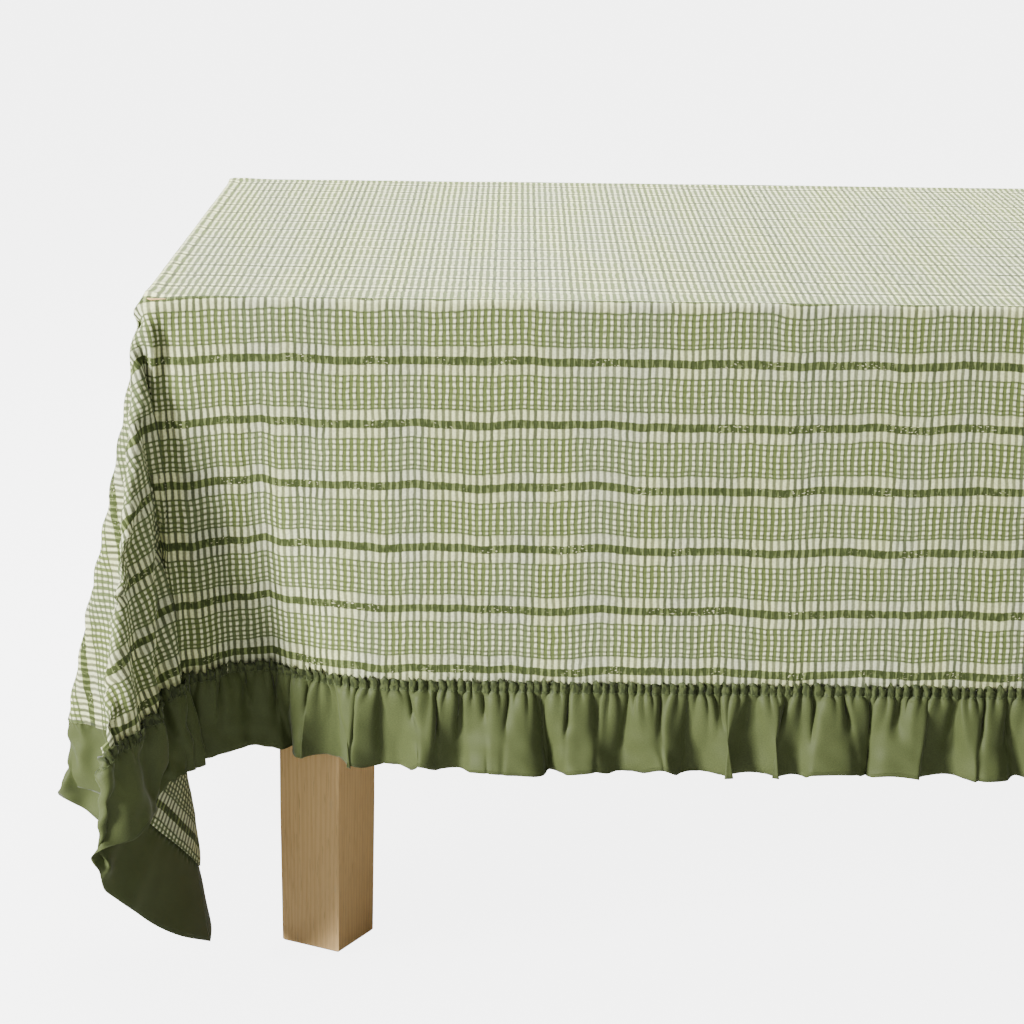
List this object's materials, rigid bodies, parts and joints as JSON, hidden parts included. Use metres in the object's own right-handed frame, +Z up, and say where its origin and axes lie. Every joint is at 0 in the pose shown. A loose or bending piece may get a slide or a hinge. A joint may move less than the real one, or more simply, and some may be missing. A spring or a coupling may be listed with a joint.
{
  "type": "dressed table",
  "caption": "Rectangular oak table under a checked tablecloth that hangs on every side, with a folded corner and a gathered ruffle along its hem.",
  "frame": {"origin": "on the floor under the middle of the table", "axes": "+Z up, +X along the table's length, -Y towards the front long side"},
  "size_m": [2.0914, 1.233, 0.7565],
  "materials": {
    "checked_cloth": "puckered woven check, matt",
    "ruffle_cloth": "plain weave, matt with a soft sheen",
    "oak_leg": "matt oiled",
    "oak_top": "matt oiled",
    "zinc_steel": "zinc plated",
    "glide_plastic": "matt"
  },
  "bodies": {
    "table": {"top_board_1": "oak_top", "top_board_2": "oak_top", "top_board_3": "oak_top", "top_board_4": "oak_top", "top_board_5": "oak_top", "batten_left": "oak_top", "batten_right": "oak_top", "batten_screws": "zinc_steel", "leg_plate_front_left": "zinc_steel", "leg_plate_front_right": "zinc_steel", "leg_plate_back_right": "zinc_steel", "leg_plate_back_left": "zinc_steel", "plate_screws": "zinc_steel", "hanger_bolts": "zinc_steel", "leg_front_left": "oak_leg", "leg_front_right": "oak_leg", "leg_back_right": "oak_leg", "leg_back_left": "oak_leg", "floor_glide_front_left": "glide_plastic", "floor_glide_front_right": "glide_plastic", "floor_glide_back_right": "glide_plastic", "floor_glide_back_left": "glide_plastic"},
    "tablecloth": {"cloth_panel": "checked_cloth", "ruffle_front": "ruffle_cloth", "ruffle_right": "ruffle_cloth", "ruffle_back": "ruffle_cloth", "ruffle_left": "ruffle_cloth"}
  },
  "joints": [
    {"name": "cloth_lift_off", "type": "slide", "parent": "table", "child": "tablecloth", "axis": [0, 0, 1], "range_m": [0, 0.8]}
  ]
}
